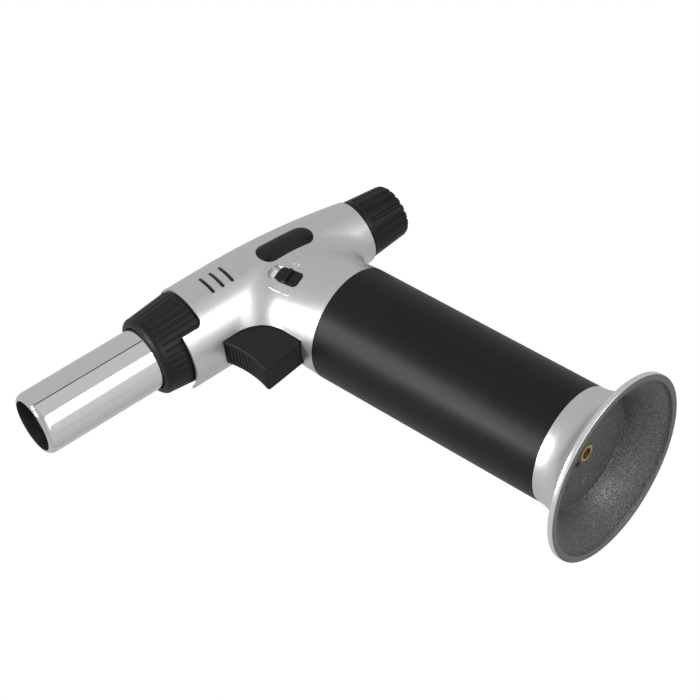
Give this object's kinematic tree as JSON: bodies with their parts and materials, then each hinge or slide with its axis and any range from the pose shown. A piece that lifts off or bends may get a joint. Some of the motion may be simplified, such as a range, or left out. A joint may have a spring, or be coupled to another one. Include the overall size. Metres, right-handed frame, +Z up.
{
  "type": "butane torch",
  "caption": "Hand-held gas torch that stands on a flared base: round fuel handle, tilted burner barrel with air collar and flame tube, pull trigger with lock, gas knob and base fill valve.",
  "frame": {"origin": "centre of the flat ring that the base stands on, on the axis of the handle", "axes": "+Z up the handle, +X towards the side that the flame leaves by, +Y to the torch's left"},
  "size_m": [0.1481, 0.0638, 0.1689],
  "materials": {
    "silver_paint": "satin silver paint",
    "grey_casting": "dark grey sand-textured paint",
    "black_sleeve": "satin black coating",
    "tank_nylon": "natural nylon",
    "seal_rubber": "black rubber",
    "felt": "felt",
    "brass": "turned",
    "steel": "plain",
    "copper": "drawn copper tube",
    "black_plastic": "satin moulded",
    "gloss_black": "gloss",
    "white_plastic": "moulded",
    "lead_rubber": "insulated wire",
    "ceramic": "unglazed ceramic",
    "dark_casting": "dark casting",
    "chrome": "polished"
  },
  "bodies": {
    "torch_body": {"base_bell": "silver_paint", "head_shell_left": "silver_paint", "head_shell_right": "silver_paint", "base_plate": "grey_casting", "handle_sleeve": "black_sleeve", "tank_body": "tank_nylon", "tank_cap": "tank_nylon", "tank_seal": "seal_rubber", "fill_seal": "seal_rubber", "spindle_seal": "seal_rubber", "wick": "felt", "fill_valve_body": "brass", "outlet_valve_body": "brass", "valve_block": "brass", "gas_jet": "brass", "burner_tube": "brass", "packing_nut": "brass", "burner_head": "brass", "fill_spring": "steel", "outlet_spring": "steel", "igniter_spring": "steel", "lever_bracket": "steel", "lever_pin": "steel", "electrode": "steel", "plate_screw": "steel", "shell_screws": "steel", "gas_pipe": "copper", "igniter_body": "black_plastic", "ignition_lead": "lead_rubber", "electrode_insulator": "ceramic", "nozzle_mount": "dark_casting", "nozzle_tube": "chrome", "side_insert_left": "gloss_black", "side_insert_right": "gloss_black"},
    "trigger": {"trigger": "black_plastic", "igniter_plunger": "white_plastic"},
    "gas_lever": {"gas_lever": "steel"},
    "outlet_stem": {"outlet_stem": "steel"},
    "fill_stem": {"fill_stem": "steel"},
    "air_collar": {"air_collar": "black_plastic"},
    "gas_knob": {"gas_knob": "black_plastic", "spindle": "steel"},
    "lock_slider": {"lock_slider": "black_plastic"}
  },
  "joints": [
    {"name": "trigger_pull", "type": "slide", "parent": "torch_body", "child": "trigger", "axis": [-1, 0, 0], "range_m": [0, 0.006], "stiffness_N_per_m": 1500, "springref_m": -0.004, "deforming": ["igniter_spring"]},
    {"name": "gas_lever_lift", "type": "hinge", "parent": "torch_body", "child": "gas_lever", "pos_m": [-0.013, 0, 0.1097], "axis": [0, -1, 0], "range_deg": [0, 6.39]},
    {"name": "outlet_stem_lift", "type": "slide", "parent": "torch_body", "child": "outlet_stem", "axis": [0, 0, 1], "range_m": [0, 0.00079], "deforming": ["outlet_spring"]},
    {"name": "fill_stem_press", "type": "slide", "parent": "torch_body", "child": "fill_stem", "axis": [0, 0, 1], "range_m": [0, 0.0015], "stiffness_N_per_m": 800, "springref_m": -0.001, "deforming": ["fill_spring"]},
    {"name": "lock_slide", "type": "slide", "parent": "torch_body", "child": "lock_slider", "axis": [0, -0.1754, 0.9845], "range_m": [0, 0.003]},
    {"name": "air_collar_turn", "type": "hinge", "parent": "torch_body", "child": "air_collar", "pos_m": [0.04319, 0, 0.1486], "axis": [0.9816, 0, 0.1908], "range_deg": [0, 40]},
    {"name": "gas_knob_turn", "type": "hinge", "parent": "torch_body", "child": "gas_knob", "pos_m": [-0.04221, 0, 0.132], "axis": [0.9816, 0, 0.1908], "range_deg": [0, 270]}
  ],
  "couplings": [
    {"joint": "gas_lever_lift", "follows": "trigger_pull", "rad_per_m": 18.571},
    {"joint": "outlet_stem_lift", "follows": "trigger_pull", "ratio": 0.13}
  ]
}
